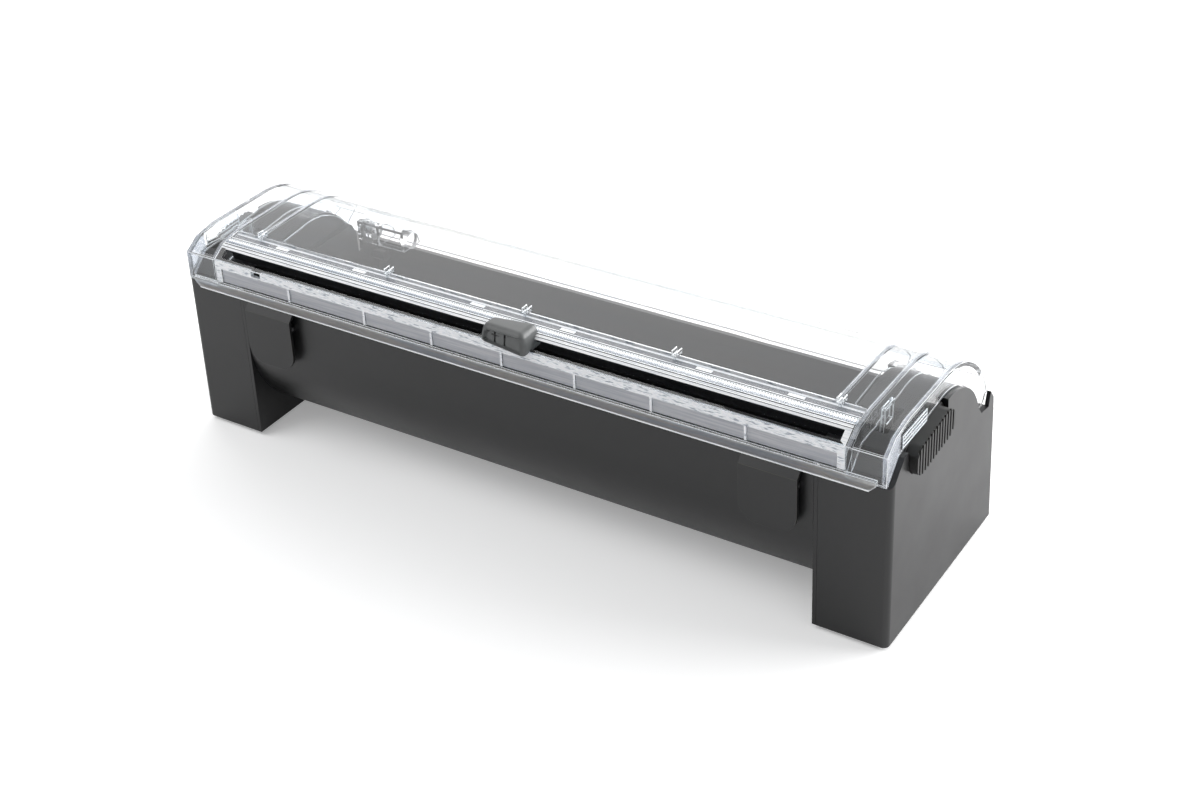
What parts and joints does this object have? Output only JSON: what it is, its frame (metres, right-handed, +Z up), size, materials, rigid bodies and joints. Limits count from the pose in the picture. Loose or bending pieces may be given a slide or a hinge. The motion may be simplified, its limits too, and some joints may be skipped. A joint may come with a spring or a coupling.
{
  "type": "vacuum bag roll cutter",
  "caption": "Counter-top roll cutter with a half-round trough between end housings, a clear hinged lid, a sliding knob cutter, ribbed end buttons and front tabs.",
  "frame": {"origin": "middle of the bounding box's underside, on the surface that the feet stand on", "axes": "+X along the roll towards the right-hand end, +Y from the front towards the hinge at the back, +Z up"},
  "size_m": [0.3972, 0.12, 0.1119],
  "materials": {
    "black_plastic": "smooth moulded, semi-gloss",
    "dark_inner_plastic": "moulded, matt",
    "clear_plastic": "clear, polished",
    "grey_plastic": "moulded, satin",
    "white_plastic": "moulded, matt",
    "rubber": "matt",
    "blade_steel": "ground",
    "steel": "zinc plated"
  },
  "bodies": {
    "base": {"trough": "black_plastic", "cutting_bed": "black_plastic", "film_grip_strip": "rubber", "left_end_housing": "black_plastic", "right_end_housing": "black_plastic", "left_cheek_plate": "black_plastic", "right_cheek_plate": "black_plastic", "left_base_plate": "dark_inner_plastic", "right_base_plate": "dark_inner_plastic", "rubber_feet": "rubber", "base_screws": "steel", "trough_screws": "steel", "cheek_screws": "steel", "guide_screws": "steel", "hinge_pins": "steel", "left_button_guide": "white_plastic", "right_button_guide": "white_plastic", "latch_pins": "steel", "left_button_spring": "steel", "right_button_spring": "steel", "left_latch_spring": "steel", "right_latch_spring": "steel"},
    "lid": {"lid_shell": "clear_plastic", "cutter_track": "clear_plastic", "serrated_strip": "clear_plastic", "track_clips": "clear_plastic", "left_hinge_bracket": "clear_plastic", "right_hinge_bracket": "clear_plastic", "left_lid_catch": "clear_plastic", "right_lid_catch": "clear_plastic"},
    "cutter": {"cutter_knob": "grey_plastic", "cutter_carriage": "dark_inner_plastic", "cutter_blade": "blade_steel", "blade_clamp": "dark_inner_plastic", "blade_screw": "steel"},
    "left_end_button": {"left_button": "black_plastic"},
    "right_end_button": {"right_button": "black_plastic"},
    "left_tab": {"left_front_latch": "black_plastic"},
    "right_tab": {"right_front_latch": "black_plastic"}
  },
  "joints": [
    {"name": "lid_hinge", "type": "hinge", "parent": "base", "child": "lid", "pos_m": [0, 0.04621, 0.07453], "axis": [-1, 0, 0], "range_deg": [0, 100]},
    {"name": "cutter_slide", "type": "slide", "parent": "lid", "child": "cutter", "axis": [1, 0, 0], "range_m": [-0.154, 0.15]},
    {"name": "left_button_press", "type": "slide", "parent": "base", "child": "left_end_button", "axis": [1, 0, 0], "range_m": [0, 0.003], "stiffness_N_per_m": 400, "springref_m": -0.003, "deforming": ["left_button_spring"]},
    {"name": "right_button_press", "type": "slide", "parent": "base", "child": "right_end_button", "axis": [-1, 0, 0], "range_m": [0, 0.003], "stiffness_N_per_m": 400, "springref_m": -0.003, "deforming": ["right_button_spring"]},
    {"name": "left_tab_rock", "type": "hinge", "parent": "base", "child": "left_tab", "pos_m": [-0.1394, -0.0557, 0.074], "axis": [1, 0, 0], "range_deg": [0, 7], "stiffness_Nm_per_rad": 0.08, "springref_deg": -4.58, "deforming": ["left_latch_spring"]},
    {"name": "right_tab_rock", "type": "hinge", "parent": "base", "child": "right_tab", "pos_m": [0.1394, -0.0557, 0.074], "axis": [1, 0, 0], "range_deg": [0, 7], "stiffness_Nm_per_rad": 0.08, "springref_deg": -4.58, "deforming": ["right_latch_spring"]}
  ]
}
